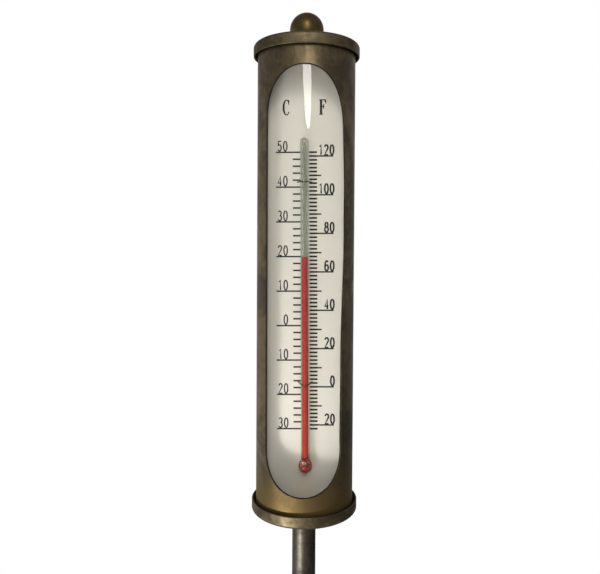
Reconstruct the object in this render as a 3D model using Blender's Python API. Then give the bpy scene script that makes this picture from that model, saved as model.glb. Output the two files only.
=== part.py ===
"""A garden thermometer on a stake: a glazed brass housing with a printed scale card and a spirit stem.

The frame is in metres with +Z up. The point of the stake is at the origin, the stake and the housing
stand on the Z axis, and the window faces -Y.
"""

from math import asin, cos, degrees, radians, sin, sqrt, tau

import bmesh
import bpy
from mathutils import Matrix, Vector

# Driving dimensions of the housing, heights counted from the underside of the bottom cap.
HOUSING_BASE = 0.786
HOUSING_HEIGHT = 0.3338
CAP_RADIUS = 0.038
CAP_DEPTH = 0.0086
CAP_CORNER = 0.0026
SEAT_RADIUS, SEAT_DEPTH = 0.010, 0.0003
SHEET = 0.001
CASING_RADIUS = 0.035
GLASS_WALL = 0.0015
SEAL_THICKNESS = 0.0015
SEAL_BORE, SEAL_RIM = 0.0319, 0.0353
GAP = 0.0003

# The window: a slot with round ends, cut through the front of the casing.
WINDOW_HALF_WIDTH = 0.027
WINDOW_BOTTOM = 0.0201
WINDOW_TOP = 0.3129

# The scale card, and the frame in which it and the stem lean a little out of plumb.
CARD_LEAN = radians(-0.5)
CARD_PIVOT = 0.156
CARD_FRONT = -0.0115
CARD_HALF_WIDTH = 0.0284
CARD_CORNER = 0.024
CARD_BOTTOM = 0.0045
CARD_TOP = 0.329
CARD_THICKNESS = 0.001

# The temperature scale: heights of its end marks, and the reading at rest.
COLDEST, WARMEST, REST_READING = -30.0, 50.0, 19.8
COLDEST_HEIGHT = 0.0613
METRES_PER_DEGREE = 0.002443

# The glass stem and its bulb.
STEM_RADIUS = 0.00295
BORE_RADIUS = 0.0017
THREAD_RADIUS = 0.00137
BULB_RADIUS = 0.0046
BULB_STRETCH = 1.17
BULB_WALL = 0.0005
BULB_HEIGHT = 0.0363
STEM_TIP = 0.2667
CLIP_HEIGHTS = (0.0945, 0.2358)
CLIP_HALF_SPAN = 0.0048
CLIP_WIRE = 0.00025

# The tie rod, its nuts and the brackets.
ROD_RADIUS = 0.003
ROD_PROUD = 0.0094
COUPLING_FLATS, COUPLING_HEIGHT = 0.013, 0.016
JAM_NUT_FLATS, JAM_NUT_HEIGHT = 0.010, 0.003
BRACKET_HALF_WIDTH = 0.014
BRACKET_SHEET = 0.0012
BRACKET_REACH = 0.008
LOWER_BRACKET, UPPER_BRACKET = 0.0176, 0.318
RIVET_HEIGHTS = (0.008, 0.325)
RIVET_HALF_SPACING = 0.010
RIVET_RADIUS = 0.0012

# The ball finial and its washer.
BALL_RADIUS = 0.0122
BALL_CENTRE = 0.0116
BALL_FLAT = 0.0014
FINIAL_WASHER = 0.0008
FINIAL_BORE_DEPTH = 0.0095

# The stake: tube, plug with its screw stub, and point.
STAKE_RADIUS = 0.0085
STAKE_WALL = 0.0012
STUB_RADIUS = 0.004
STUB_HEIGHT = 0.009
PLUG_LENGTH = 0.025
HEAD_WASHER = 0.001
POINT_LENGTH = 0.060
POINT_NOSE = 0.0008
SPIGOT_LENGTH = 0.020

# Flats round a whole turn, by the size of the piece.
FINE_ROUND, CAP_ROUND, ROUND, SMALL_ROUND = 96, 60, 40, 24


def material(name, colour, metallic, roughness, alpha=1.0):
    made = bpy.data.materials.new(name)
    made.use_nodes = True
    shader = made.node_tree.nodes["Principled BSDF"]
    shader.inputs["Base Color"].default_value = (*colour, 1.0)
    shader.inputs["Metallic"].default_value = metallic
    shader.inputs["Roughness"].default_value = roughness
    shader.inputs["Alpha"].default_value = alpha
    made.diffuse_color = (*colour, alpha)
    return made


def empty(name, height, parent=None):
    """A marker on the vertical axis that carries the pieces which move or lean together."""
    made = bpy.data.objects.new(name, None)
    bpy.context.collection.objects.link(made)
    made.parent = parent
    made.location.z = height - (parent.matrix_world.translation.z if parent else 0.0)
    bpy.context.view_layer.update()
    return made


def new_object(name, shape, finish, parent):
    """Links a bmesh as a named object; its coordinates are those of its parent's frame."""
    mesh = bpy.data.meshes.new(name)
    bmesh.ops.recalc_face_normals(shape, faces=shape.faces)
    shape.to_mesh(mesh)
    shape.free()
    mesh.shade_smooth()
    mesh.set_sharp_from_angle(angle=radians(35))
    mesh.materials.append(finish)
    made = bpy.data.objects.new(name, mesh)
    bpy.context.collection.objects.link(made)
    made.parent = parent
    return made


def arc(centre_radius, centre_height, radius, start, end, steps, stretch=1.0):
    """Points (radius, height) on an arc; angles are in degrees, 0 outwards and 90 upwards.

    A stretch other than 1 makes the arc an oval's, that many times as high as it is wide.
    """
    angles = [radians(start + (end - start) * step / steps) for step in range(steps + 1)]
    rise = radius * stretch
    return [(centre_radius + radius * cos(a), centre_height + rise * sin(a)) for a in angles]


def spin_outline(outline, steps):
    """Turns (radius, height) points about Z. An edge that lies on the axis is left out."""
    shape = bmesh.new()
    points = [shape.verts.new((radius, 0, height)) for radius, height in outline]
    edges = []
    for first, second in zip(points, points[1:] + points[:1]):
        if first.co.x > 1e-7 or second.co.x > 1e-7:
            edges.append(shape.edges.new((first, second)))
    bmesh.ops.spin(
        shape, geom=points + edges, cent=(0, 0, 0), axis=(0, 0, 1), angle=tau, steps=steps
    )
    bmesh.ops.remove_doubles(shape, verts=shape.verts, dist=1e-6)
    return shape


def turned(name, outline, finish, parent=None, steps=ROUND):
    return new_object(name, spin_outline(outline, steps), finish, parent)


def ring(inner, outer, low, high):
    """The outline of a plain ring or tube."""
    return [(inner, low), (outer, low), (outer, high), (inner, high)]


def hexagonal(name, flats, outline, finish, parent=None):
    """A nut: a turned outline whose widest wall is pulled out to a hexagon."""
    shape = spin_outline(outline, SMALL_ROUND)
    for vertex in shape.verts:
        across = Vector((vertex.co.x, vertex.co.y))
        if across.length > flats * 0.49:
            turn = degrees(across.angle_signed(Vector((1, 0)))) % 60
            vertex.co.xy = across / cos(radians(turn - 30))
    return new_object(name, shape, finish, parent)


def prism(outline, front, back):
    """Extrudes (x, z) points along Y, from front to back."""
    shape = bmesh.new()
    shape.faces.new([shape.verts.new((x, front, z)) for x, z in outline])
    bmesh.ops.remove_doubles(shape, verts=shape.verts, dist=1e-6)
    extruded = bmesh.ops.extrude_face_region(shape, geom=shape.faces[:])["geom"]
    moved = [item for item in extruded if isinstance(item, bmesh.types.BMVert)]
    bmesh.ops.translate(shape, verts=moved, vec=(0, back - front, 0))
    return shape


def rounded_rectangle(half_width, low, high, corner, steps):
    """Outline (x, z) of a rectangle about the vertical axis with round corners."""
    outline = []
    for side, end, start in ((1, high, 0), (-1, high, 90), (-1, low, 180), (1, low, 270)):
        centre_z = end - corner if end == high else end + corner
        outline += arc(side * (half_width - corner), centre_z, corner, start, start + 90, steps)
    return outline


def cutter(name, shape, parent=None):
    made = new_object(name, shape, bpy.data.materials["cutting_guide"], parent)
    made.hide_render = True
    made.display_type = "WIRE"
    return made


def cut(target, tool):
    hole = target.modifiers.new(tool.name, "BOOLEAN")
    hole.operation = "DIFFERENCE"
    hole.solver = "EXACT"
    hole.object = tool


def cylinder_along_y(shape, x, z, radius, front, back, steps=16):
    """Adds a closed cylinder that runs along Y."""
    matrix = Matrix.Translation((x, (front + back) / 2, z)) @ Matrix.Rotation(radians(90), 4, "X")
    bmesh.ops.create_cone(
        shape, cap_ends=True, segments=steps, radius1=radius, radius2=radius,
        depth=back - front, matrix=matrix,
    )


def cap_outline(bore, seat=()):
    """A pressed cap as a dish: flat floor at height 0, round corner, rim standing up.

    The points in seat, from the bore outwards, shape a sunk seat round the bore.
    """
    inside_corner = CAP_CORNER - SHEET
    wall = CAP_RADIUS - SHEET
    lip = SHEET / 2
    outside = arc(CAP_RADIUS - CAP_CORNER, CAP_CORNER, CAP_CORNER, -90, 0, 4)
    rim = arc(CAP_RADIUS - lip, CAP_DEPTH - lip, lip, 0, 180, 3)
    inside = arc(wall - inside_corner, SHEET + inside_corner, inside_corner, 0, -90, 3)
    return [*(seat or [(bore, 0.0)]), *outside, *rim, *inside, (bore, SHEET)]


def build_stake(brass, steel):
    top = HOUSING_BASE + SEAT_DEPTH - 2 * GAP - HEAD_WASHER
    tube_bore = STAKE_RADIUS - STAKE_WALL
    plug_radius = tube_bore - GAP
    turned("stake_tube", ring(tube_bore, STAKE_RADIUS, POINT_LENGTH + GAP, top), brass)
    turned(
        "stake_plug",
        [
            (0, top - PLUG_LENGTH), (plug_radius, top - PLUG_LENGTH), (plug_radius, top),
            (STUB_RADIUS, top), (STUB_RADIUS, HOUSING_BASE + STUB_HEIGHT - 0.0005),
            (STUB_RADIUS - 0.0005, HOUSING_BASE + STUB_HEIGHT), (0, HOUSING_BASE + STUB_HEIGHT),
        ],
        steel,
        steps=SMALL_ROUND,
    )
    spigot_top = POINT_LENGTH + SPIGOT_LENGTH
    turned(
        "stake_point",
        arc(0, POINT_NOSE, POINT_NOSE, -90, 0, 3)
        + [
            (STAKE_RADIUS, POINT_LENGTH), (plug_radius, POINT_LENGTH),
            (plug_radius, spigot_top), (0, spigot_top),
        ],
        brass,
        steps=SMALL_ROUND,
    )


def build_shell(head, finishes):
    """Bottom cap, seal, casing with its window, and the glass, in the housing's own frame."""
    bore = STUB_RADIUS + GAP
    seat = [(bore, SEAT_DEPTH), (SEAT_RADIUS, SEAT_DEPTH), (SEAT_RADIUS, 0.0)]
    turned("bottom_cap", cap_outline(bore, seat), finishes["brass"], head, CAP_ROUND)
    low = SHEET + GAP + SEAL_THICKNESS + GAP
    high = HOUSING_HEIGHT - low
    seal = ring(SEAL_BORE, SEAL_RIM, SHEET + GAP, SHEET + GAP + SEAL_THICKNESS)
    turned("bottom_seal", seal, finishes["rubber"], head)

    casing = turned(
        "casing", ring(CASING_RADIUS - SHEET, CASING_RADIUS, low, high), finishes["brass"],
        head, FINE_ROUND,
    )
    opening = rounded_rectangle(
        WINDOW_HALF_WIDTH, WINDOW_BOTTOM, WINDOW_TOP, WINDOW_HALF_WIDTH, 12
    )
    cut(casing, cutter("window_opening", prism(opening, -2 * CASING_RADIUS, 0), head))

    glass_outer = CASING_RADIUS - SHEET - GAP
    turned(
        "glass_sleeve", ring(glass_outer - GLASS_WALL, glass_outer, low, high),
        finishes["glass"], head, FINE_ROUND,
    )


def build_core(head, finishes):
    """The clamping rod with its nuts."""
    floor = SHEET + GAP
    coupling_top = floor + COUPLING_HEIGHT
    stub_hole = STUB_HEIGHT + GAP
    outline = [
        (STUB_RADIUS + GAP, floor), (COUPLING_FLATS / 2, floor),
        (COUPLING_FLATS / 2, coupling_top), (ROD_RADIUS + GAP, coupling_top),
        (ROD_RADIUS + GAP, stub_hole), (STUB_RADIUS + GAP, stub_hole),
    ]
    hexagonal("coupling_nut", COUPLING_FLATS, outline, finishes["steel"], head)

    rod_top = HOUSING_HEIGHT + ROD_PROUD
    chamfer = 0.0005
    turned(
        "tie_rod",
        [
            (0, stub_hole + GAP), (ROD_RADIUS, stub_hole + GAP), (ROD_RADIUS, rod_top - chamfer),
            (ROD_RADIUS - chamfer, rod_top), (0, rod_top),
        ],
        finishes["steel"], head, SMALL_ROUND,
    )
    for name, seat in (("lower", LOWER_BRACKET), ("upper", UPPER_BRACKET)):
        low = seat + BRACKET_SHEET + GAP
        outline = ring(ROD_RADIUS + GAP, JAM_NUT_FLATS / 2, low, low + JAM_NUT_HEIGHT)
        hexagonal(name + "_jam_nut", JAM_NUT_FLATS, outline, finishes["steel"], head)


def build_bracket(name, seat, flange_end, head, finish, holes):
    """An angle bent from strip: a tab round the rod, and a flange behind the card."""
    back_of_card = CARD_FRONT + CARD_THICKNESS + GAP
    under, over = seat, seat + BRACKET_SHEET
    elbow = back_of_card + BRACKET_SHEET
    inner, outer = (over, under) if flange_end > seat else (under, over)
    profile = [
        (back_of_card, outer), (BRACKET_REACH, outer), (BRACKET_REACH, inner),
        (elbow, inner), (elbow, flange_end), (back_of_card, flange_end),
    ]
    shape = bmesh.new()
    corners = [shape.verts.new((-BRACKET_HALF_WIDTH, y, z)) for y, z in profile]
    extruded = bmesh.ops.extrude_face_region(shape, geom=[shape.faces.new(corners)])["geom"]
    moved = [item for item in extruded if isinstance(item, bmesh.types.BMVert)]
    bmesh.ops.translate(shape, verts=moved, vec=(2 * BRACKET_HALF_WIDTH, 0, 0))
    bracket = new_object(name, shape, finish, head)
    for tool in holes:
        cut(bracket, tool)


def build_card(head, card_frame, finishes):
    """The scale card, its brackets and its rivets."""
    drill = bmesh.new()
    for height in RIVET_HEIGHTS:
        for side in (-1, 1):
            cylinder_along_y(
                drill, side * RIVET_HALF_SPACING, height - CARD_PIVOT, RIVET_RADIUS + GAP,
                CARD_FRONT - 0.003, CARD_FRONT + 0.005,
            )
    rivet_holes = cutter("rivet_holes", drill, card_frame)
    drill = bmesh.new()
    for height in CLIP_HEIGHTS:
        for side in (-1, 1):
            cylinder_along_y(
                drill, side * CLIP_HALF_SPAN, height - CARD_PIVOT, CLIP_WIRE + GAP,
                CARD_FRONT - 0.003, CARD_FRONT + 0.005, steps=10,
            )
    bulb_hole = BULB_STRETCH * sqrt(BULB_RADIUS**2 - (STEM_RADIUS + GAP) ** 2) + GAP
    cylinder_along_y(
        drill, 0, BULB_HEIGHT - CARD_PIVOT, bulb_hole, CARD_FRONT - 0.003, CARD_FRONT + 0.005,
        steps=SMALL_ROUND,
    )
    card_holes = cutter("card_holes", drill, card_frame)

    outline = rounded_rectangle(
        CARD_HALF_WIDTH, CARD_BOTTOM - CARD_PIVOT, CARD_TOP - CARD_PIVOT, CARD_CORNER, 6
    )
    plate = new_object(
        "scale_plate", prism(outline, CARD_FRONT, CARD_FRONT + CARD_THICKNESS),
        finishes["card"], card_frame,
    )
    cut(plate, rivet_holes)
    cut(plate, card_holes)

    rod_drill = spin_outline([(0, 0), (ROD_RADIUS + GAP, 0), (ROD_RADIUS + GAP, 0.33), (0, 0.33)], 24)
    rod_hole = cutter("rod_hole", rod_drill, head)
    build_bracket(
        "lower_bracket", LOWER_BRACKET, CARD_BOTTOM + GAP, head, finishes["steel"],
        (rod_hole, rivet_holes),
    )
    build_bracket(
        "upper_bracket", UPPER_BRACKET, CARD_TOP - GAP, head, finishes["steel"],
        (rod_hole, rivet_holes),
    )

    grip = CARD_THICKNESS + GAP + BRACKET_SHEET + 2 * GAP
    head_radius, head_height = 0.0022, 0.0009
    outline = (
        [(0, -head_height), (head_radius * 0.7, -head_height * 0.75), (head_radius, 0)]
        + [(RIVET_RADIUS, 0), (RIVET_RADIUS, grip), (head_radius, grip)]
        + [(head_radius * 0.7, grip + head_height * 0.75), (0, grip + head_height)]
    )
    number = 1
    for height in RIVET_HEIGHTS:
        for side in (-1, 1):
            rivet = turned(f"plate_rivet_{number}", outline, finishes["steel"], card_frame, 16)
            rivet.rotation_euler.x = radians(-90)
            rivet.location = (side * RIVET_HALF_SPACING, CARD_FRONT - GAP, height - CARD_PIVOT)
            number += 1


def build_stem(card_frame, finishes):
    """The glass stem with its bulb, and the red spirit in it, on the stem's own axis."""
    stem = bpy.data.objects.new("stem_axis", None)
    bpy.context.collection.objects.link(stem)
    stem.parent = card_frame
    stem.location = (0, CARD_FRONT - GAP - STEM_RADIUS, -CARD_PIVOT)

    inner_radius = BULB_RADIUS - BULB_WALL
    outer_neck = degrees(asin(sqrt(1 - (STEM_RADIUS / BULB_RADIUS) ** 2)))
    inner_neck = degrees(asin(sqrt(1 - (BORE_RADIUS / inner_radius) ** 2)))
    tip_hole = 0.0003
    dome_start = degrees(asin(sqrt(1 - (tip_hole / STEM_RADIUS) ** 2)))
    outside = arc(0, BULB_HEIGHT, BULB_RADIUS, -90, outer_neck, 14, BULB_STRETCH)
    outside += arc(0, STEM_TIP - STEM_RADIUS, STEM_RADIUS, 0, dome_start, 6)
    inside = [(tip_hole, STEM_TIP - 2 * STEM_RADIUS + 0.0005), (BORE_RADIUS, STEM_TIP - 2 * STEM_RADIUS)]
    inside += arc(0, BULB_HEIGHT, inner_radius, inner_neck, -90, 12, BULB_STRETCH)
    turned("stem_glass", outside + inside, finishes["glass"], stem, SMALL_ROUND)

    pool_radius = inner_radius - GAP
    pool_neck = degrees(asin(sqrt(1 - (THREAD_RADIUS / pool_radius) ** 2)))
    neck_top = BULB_HEIGHT + BULB_STRETCH * BULB_RADIUS + GAP
    pool = arc(0, BULB_HEIGHT, pool_radius, -90, pool_neck, 12, BULB_STRETCH)
    pool += [(THREAD_RADIUS, neck_top), (0, neck_top)]
    turned("bulb_spirit", pool, finishes["spirit"], stem, SMALL_ROUND)

    top = COLDEST_HEIGHT + (REST_READING - COLDEST) * METRES_PER_DEGREE
    foot = neck_top + GAP
    turned(
        "spirit_column", [(0, foot), (THREAD_RADIUS, foot), (THREAD_RADIUS, top), (0, top)],
        finishes["spirit"], stem, 12,
    )
    return stem


def build_clip(name, height, finish, stem):
    """A wire looped over the stem, both ends through the card and bent over behind it."""
    loop = STEM_RADIUS + GAP + CLIP_WIRE
    front = STEM_RADIUS + GAP
    behind = front + CARD_THICKNESS + 0.0012
    quarter = [(loop * sin(radians(a)), -loop * cos(radians(a))) for a in (0, 20, 40, 60, 80)]
    half = quarter + [(CLIP_HALF_SPAN - 0.0006, front - 0.0014), (CLIP_HALF_SPAN, front - 0.0004)]
    half += [(CLIP_HALF_SPAN, behind)]
    route = [(-x, y) for x, y in reversed(half[1:])] + half
    curve = bpy.data.curves.new(name, "CURVE")
    curve.dimensions = "3D"
    curve.bevel_depth = CLIP_WIRE
    curve.bevel_resolution = 2
    curve.use_fill_caps = True
    curve.materials.append(finish)
    spline = curve.splines.new("POLY")
    spline.points.add(len(route) - 1)
    for point, (x, y) in zip(spline.points, route):
        point.co = (x, y, height, 1.0)
    made = bpy.data.objects.new(name, curve)
    bpy.context.collection.objects.link(made)
    made.parent = stem


def build_lid(lid, finishes):
    """Top cap with its seal, in the frame of the lid joint at the top of the housing."""
    dish = [(radius, -height) for radius, height in cap_outline(ROD_RADIUS + GAP)]
    turned("top_cap", dish, finishes["brass"], lid, CAP_ROUND)
    seal_top = -SHEET - GAP
    seal = ring(SEAL_BORE, SEAL_RIM, seal_top - SEAL_THICKNESS, seal_top)
    turned("top_seal", seal, finishes["rubber"], lid)


def build_finial(lift, turn, finishes):
    """Washer and ball on the rod's end, in the frame of the top of the lid."""
    turned(
        "finial_washer",
        ring(ROD_RADIUS + GAP, 0.0052, GAP, GAP + FINIAL_WASHER), finishes["steel"], lift,
    )
    below = BALL_CENTRE - BALL_FLAT
    flat_angle = -degrees(asin(below / BALL_RADIUS))
    ball = arc(0, BALL_CENTRE, BALL_RADIUS, flat_angle, 90, 14)
    bore_top = BALL_FLAT + FINIAL_BORE_DEPTH
    bore = ROD_RADIUS + GAP
    turned(
        "finial_ball", ball + [(0, bore_top), (bore, bore_top), (bore, BALL_FLAT)],
        finishes["brass"], turn,
    )


def main():
    for stale in list(bpy.data.objects):
        bpy.data.objects.remove(stale)

    material("cutting_guide", (0.1, 0.4, 0.8), 0.0, 0.5)
    finishes = {
        "brass": material("antique_brass", (0.14, 0.10, 0.045), 1.0, 0.38),
        "steel": material("zinc_plated_steel", (0.55, 0.55, 0.52), 1.0, 0.35),
        "rubber": material("black_rubber", (0.02, 0.02, 0.02), 0.0, 0.8),
        "glass": material("clear_glass", (0.9, 0.95, 0.92), 0.0, 0.03, alpha=0.3),
        "card": material("cream_scale_card", (0.68, 0.64, 0.54), 0.0, 0.5),
        "spirit": material("red_spirit", (0.5, 0.03, 0.02), 0.0, 0.2),
        "wire": material("dark_wire", (0.05, 0.05, 0.045), 1.0, 0.4),
        "fibre": material("red_fibre", (0.25, 0.05, 0.03), 0.0, 0.7),
    }

    build_stake(finishes["brass"], finishes["steel"])
    rise = empty("head_rise_axis", HOUSING_BASE)
    washer_top = SEAT_DEPTH - GAP
    turned(
        "head_washer",
        ring(STUB_RADIUS + GAP, STAKE_RADIUS - GAP, washer_top - HEAD_WASHER, washer_top),
        finishes["fibre"], rise,
    )
    head = empty("head_turn_axis", HOUSING_BASE, rise)
    build_shell(head, finishes)
    build_core(head, finishes)

    card_frame = empty("card_frame", HOUSING_BASE + CARD_PIVOT, head)
    card_frame.rotation_euler.y = CARD_LEAN
    build_card(head, card_frame, finishes)
    stem = build_stem(card_frame, finishes)
    for name, height in zip(("wire_clip_lower", "wire_clip_upper"), CLIP_HEIGHTS):
        build_clip(name, height, finishes["wire"], stem)

    lid = empty("lid_lift_axis", HOUSING_BASE + HOUSING_HEIGHT, head)
    build_lid(lid, finishes)
    lift = empty("finial_rise_axis", HOUSING_BASE + HOUSING_HEIGHT, lid)
    turn = empty("finial_turn_axis", HOUSING_BASE + HOUSING_HEIGHT, lift)
    build_finial(lift, turn, finishes)


main()
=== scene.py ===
# %% [markdown]
# # A garden thermometer on a stake
#
# The real object is a brass tube with a tall round-ended window. Inside it a glass sleeve keeps the
# rain off a white card with a printed scale, and a spirit-in-glass stem is wired to the card. Two
# pressed caps close the tube, a ball nut on top clamps everything on one rod, and a long stake
# screws in from below.
#
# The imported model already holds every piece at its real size. This lesson loads it, rebuilds what is
# seen from near with finer meshes, and gives each piece the finish that its maker gave it.

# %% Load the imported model
from math import asin, cos, pi, radians, sin, sqrt, tau

import bpy
from mathutils import Matrix, Vector, noise


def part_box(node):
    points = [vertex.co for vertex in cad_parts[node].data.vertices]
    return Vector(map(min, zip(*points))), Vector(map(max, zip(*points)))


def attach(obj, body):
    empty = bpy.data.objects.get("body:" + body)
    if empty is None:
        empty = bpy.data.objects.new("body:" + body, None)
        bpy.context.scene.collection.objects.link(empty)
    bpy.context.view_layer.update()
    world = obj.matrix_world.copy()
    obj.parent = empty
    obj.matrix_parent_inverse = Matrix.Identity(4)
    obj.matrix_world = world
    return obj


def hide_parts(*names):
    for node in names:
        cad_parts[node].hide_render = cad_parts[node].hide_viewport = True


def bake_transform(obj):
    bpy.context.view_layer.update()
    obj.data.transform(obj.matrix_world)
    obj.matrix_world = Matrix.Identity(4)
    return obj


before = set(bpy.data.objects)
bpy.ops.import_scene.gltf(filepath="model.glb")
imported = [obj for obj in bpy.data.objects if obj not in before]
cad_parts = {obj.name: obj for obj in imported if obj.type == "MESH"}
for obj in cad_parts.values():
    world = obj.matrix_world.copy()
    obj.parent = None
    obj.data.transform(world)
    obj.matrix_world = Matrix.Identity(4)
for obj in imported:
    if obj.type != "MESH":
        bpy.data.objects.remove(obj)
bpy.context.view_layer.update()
MM = 0.001

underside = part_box("bottom_cap")[0].z
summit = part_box("top_cap")[1].z
cap_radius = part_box("top_cap")[1].x
cap_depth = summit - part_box("top_cap")[0].z
casing_low, casing_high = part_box("casing")[0].z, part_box("casing")[1].z
casing_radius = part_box("casing")[1].x
glass_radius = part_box("glass_sleeve")[1].x
print("housing from", round(underside, 4), "to", round(summit, 4), "m, cap radius", round(cap_radius, 4))

# %% [markdown]
# ## The camera
#
# A small product like this is best seen from about half a metre, level with its middle, so its
# upper cap is seen from below and its lower cap from above. The camera stands a little to the right
# and nods down by a degree. The lens is slightly longer than normal, and a small shift lets the
# view reach further down than up without tilting the verticals.

# %% Place the camera
camera_distance = 0.4616
camera_height = underside + 0.1952
camera_side = radians(1.2)
camera_nod = radians(-1.365)
camera_roll = radians(0.34)

camera_data = bpy.data.cameras.new("view")
camera_data.lens = 38.28
camera_data.sensor_width = 36
camera_data.shift_x = -0.0092
camera_data.shift_y = -0.0532
camera_data.clip_start = 0.01
camera = bpy.data.objects.new("view", camera_data)
bpy.context.scene.collection.objects.link(camera)
around = Matrix.Rotation(camera_side, 4, "Z")
stand = Matrix.Translation(around @ Vector((0, -camera_distance, camera_height)))
look = Matrix.Rotation(radians(90) + camera_nod, 4, "X") @ Matrix.Rotation(camera_roll, 4, "Z")
camera.matrix_world = stand @ around @ look
bpy.context.scene.camera = camera
bpy.context.scene.view_settings.view_transform = "Standard"

# %% [markdown]
# ## One helper for node trees, one for colours
#
# Shader nodes can be placed by hand in the editor. In a script each node takes the same three
# steps: add it, set it, join it. One small function does that for every kind of node. Colours are
# written as the hex values that a painter picks from a screen, and one function makes them linear,
# because that is what a shader calculates with.

# %% Node and colour helpers
def add_node(tree, kind, inputs=None, **settings):
    """Adds a shader node. inputs gives each socket a plain value or the output that feeds it."""
    node = tree.nodes.new("ShaderNode" + kind)
    for name, value in settings.items():
        setattr(node, name, value)
    for name, value in (inputs or {}).items():
        if isinstance(value, bpy.types.NodeSocket):
            tree.links.new(value, node.inputs[name])
        else:
            node.inputs[name].default_value = value
    return node


def linear(hexadecimal):
    """An sRGB hex colour as linear red, green, blue and an alpha of 1."""
    channels = [int(hexadecimal[start:start + 2], 16) / 255 for start in (0, 2, 4)]
    return (*(c / 12.92 if c <= 0.04045 else ((c + 0.055) / 1.055) ** 2.4 for c in channels), 1.0)


# %% [markdown]
# ## The room
#
# The object stands in front of a white backdrop. Polished metal shows the room itself, so the room
# matters as much as the lamps: it is dim at the sides, darker low on the right, with a pale board
# low on the left and the warm glow of a wooden table low in front. The world's shader draws that
# room by direction. Rays that come straight from the camera see plain white instead.

# %% The room as a world shader
world = bpy.data.worlds.new("studio_room")
world.use_nodes = True
bpy.context.scene.world = world
room = world.node_tree
room.nodes.clear()
direction = add_node(room, "TexCoord").outputs["Generated"]


def compass(azimuth, elevation):
    """The unit vector towards a place in the room; azimuth 0 is in front, 90 is on the right."""
    side, rise = radians(azimuth), radians(elevation)
    return (sin(side) * cos(rise), -cos(side) * cos(rise), sin(rise))


def patch(azimuth, elevation, radius, softness, colour, strength, below):
    """Adds a soft round patch of light to the colour below it in the room."""
    facing = add_node(
        room, "VectorMath", {0: direction, 1: compass(azimuth, elevation)}, operation="DOT_PRODUCT"
    )
    inside = add_node(room, "MapRange", {
        "Value": facing.outputs["Value"],
        "From Min": cos(radians(radius + softness)),
        "From Max": cos(radians(max(radius - softness, 0))),
    }, interpolation_type="SMOOTHSTEP")
    tint = tuple(channel * strength for channel in linear(colour)[:3]) + (1.0,)
    mixed = add_node(room, "Mix", {
        "Factor": inside.outputs["Result"], 6: below, 7: tint,
    }, data_type="RGBA")
    return mixed.outputs[2]


walls = add_node(room, "RGB")
walls.outputs[0].default_value = (0.205, 0.21, 0.215, 1.0)
shade = walls.outputs[0]
shade = patch(114, 4, 14, 10, "F4F2FF", 0.40, shade)
shade = patch(105, -44, 34, 12, "FFFFFF", 0.01, shade)
shade = patch(180, 10, 28, 10, "FFFFFF", 0.85, shade)
shade = patch(0, -32, 22, 12, "E0B060", 0.55, shade)
shade = patch(-116, -22, 32, 24, "FFFFFF", 0.52, shade)
seen = add_node(room, "Background", {"Color": (1.0, 1.0, 1.0, 1.0), "Strength": 1.0})
felt = add_node(room, "Background", {"Color": shade, "Strength": 1.0})
switch = add_node(room, "MixShader", {
    0: add_node(room, "LightPath").outputs["Is Camera Ray"],
    1: felt.outputs[0], 2: seen.outputs[0],
})
add_node(room, "OutputWorld", {"Surface": switch.outputs[0]})

# %% [markdown]
# ## Three lamps
#
# A large oval diffuser stands above the camera. The glass shows it as the bright streak below the
# window's head; it is there for that mirror image only, so it is kept from lighting matt surfaces.
# A small warm softbox hangs higher up and lights the card, and the window's head throws a shadow on
# it. A lamp low on the left, near the foot, throws the shadow along the card's left side and round
# its foot, and makes the bright spot on the lower cap.

# %% The three lamps
def panel(name, width, height, radiance, colour, place, target, roll=0.0):
    """An oval lamp that faces the target; radiance is its brightness, with 1 for paper white."""
    data = bpy.data.lights.new(name, "AREA")
    data.shape = "ELLIPSE"
    data.size, data.size_y = width, height
    data.energy = radiance * pi * (pi / 4) * width * height
    data.color = colour
    lamp = bpy.data.objects.new(name, data)
    bpy.context.scene.collection.objects.link(lamp)
    facing = (Vector(target) - Vector(place)).to_track_quat("-Z", "Y").to_matrix().to_4x4()
    lamp.matrix_world = Matrix.Translation(place) @ facing @ Matrix.Rotation(roll, 4, "Z")
    lamp.visible_camera = False
    return lamp


streak_place = Matrix.Rotation(radians(1.7), 4, "Z") @ Vector((0, -1.0, camera_height + 0.395))
streak_target = (0, 0, streak_place.z)
streak = panel(
    "streak_lamp", 0.41, 0.26, 7.0, (1.0, 0.96, 0.91), streak_place, streak_target, radians(-30)
)
streak.visible_diffuse = False
card_head = Vector((0, 0, underside + 300 * MM))
softbox_place = card_head + 1.2 * Vector(compass(0, 33))
panel("softbox", 0.20, 0.20, 21.5, (1.0, 0.95, 0.88), softbox_place, card_head)
card_foot = Vector((0, 0, underside + 38 * MM))
low_lamp_place = card_foot + 0.5 * Vector(compass(-38.5, -33))
panel("low_side_lamp", 0.07, 0.07, 125.0, (1.0, 1.0, 1.0), low_lamp_place, card_foot)

# %% [markdown]
# ## A hand for the modelling tools
#
# Blender's operators act on whatever is selected, and the loaded model arrives selected. So each
# new piece starts from an empty selection, and `hold` makes one object the only selected one.
# Everything turned on a lathe or pressed over a round die, such as a cap, a ball or a tube, is made
# the same way here: one vertex is extruded along the half outline and the line is spun round.

# %% Modelling helpers
def hold(piece):
    """Makes one object the only selected one and the active one."""
    bpy.ops.object.select_all(action="DESELECT")
    piece.select_set(True)
    bpy.context.view_layer.objects.active = piece


def arc(centre_radius, centre_height, radius, start, end, steps, stretch=1.0):
    """Points (radius, height) on an arc; angles in degrees, 0 outwards and 90 upwards."""
    angles = [radians(start + (end - start) * step / steps) for step in range(steps + 1)]
    return [
        (centre_radius + radius * cos(a), centre_height + radius * stretch * sin(a)) for a in angles
    ]


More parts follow.
